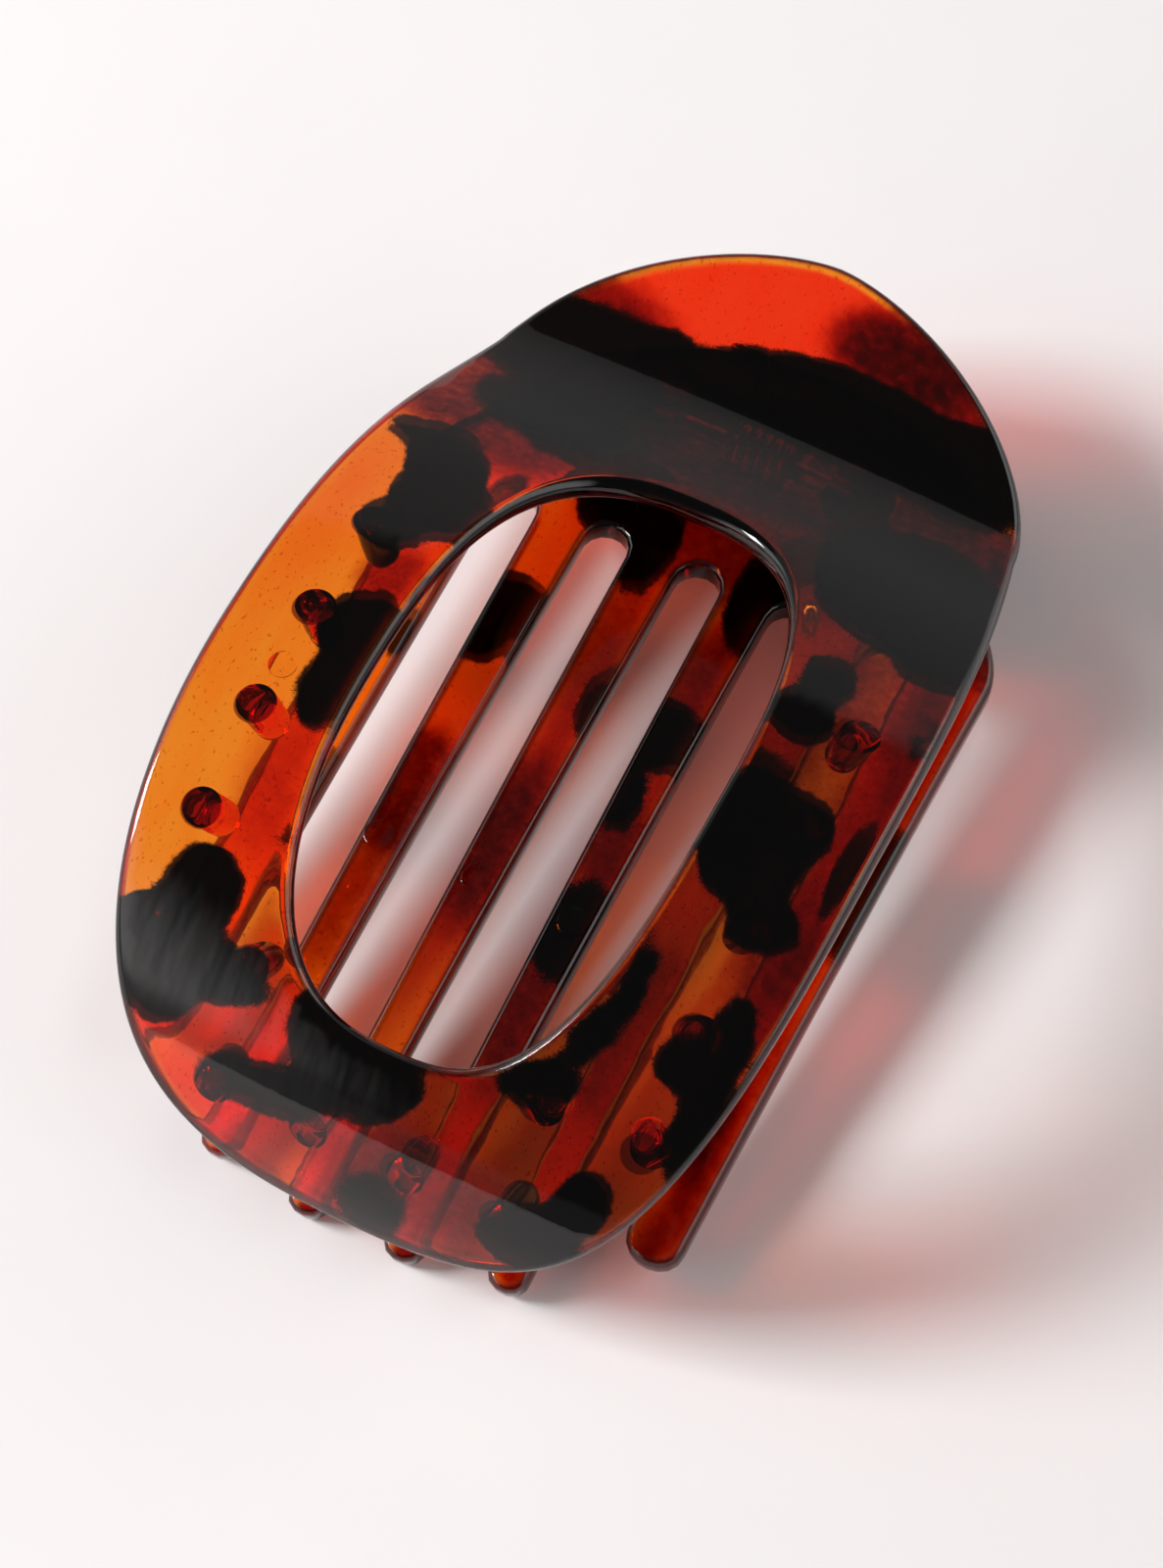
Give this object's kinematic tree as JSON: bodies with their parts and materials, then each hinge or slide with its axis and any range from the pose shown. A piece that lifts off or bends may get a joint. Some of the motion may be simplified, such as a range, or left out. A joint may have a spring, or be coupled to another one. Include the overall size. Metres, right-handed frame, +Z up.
{
  "type": "flat claw hair clip",
  "caption": "Flat claw hair clip: a curved windowed upper jaw over a toothed comb jaw, hinged on a pin and closed by a torsion spring.",
  "frame": {"origin": "under the middle of the clip, on the surface that it lies on", "axes": "+X across the clip, +Y from the tine tips towards the thumb tabs, +Z up through the upper jaw; the clip lies closed"},
  "size_m": [0.0638, 0.105, 0.0348],
  "materials": {
    "tortoiseshell_plastic": "polished translucent plastic, amber and red with near-black blotches",
    "pin_steel": "plain steel",
    "spring_steel": "plain drawn steel wire"
  },
  "bodies": {
    "lower": {"lower_jaw": "tortoiseshell_plastic", "hinge_pin": "pin_steel", "torsion_spring": "spring_steel"},
    "upper": {"upper_jaw": "tortoiseshell_plastic"}
  },
  "joints": [
    {"name": "jaw_hinge", "type": "hinge", "parent": "lower", "child": "upper", "pos_m": [0, 0.034, 0.0126], "axis": [-1, 0, 0], "range_deg": [0, 50], "stiffness_Nm_per_rad": 0.07, "springref_deg": -51.57, "deforming": ["torsion_spring"]}
  ]
}
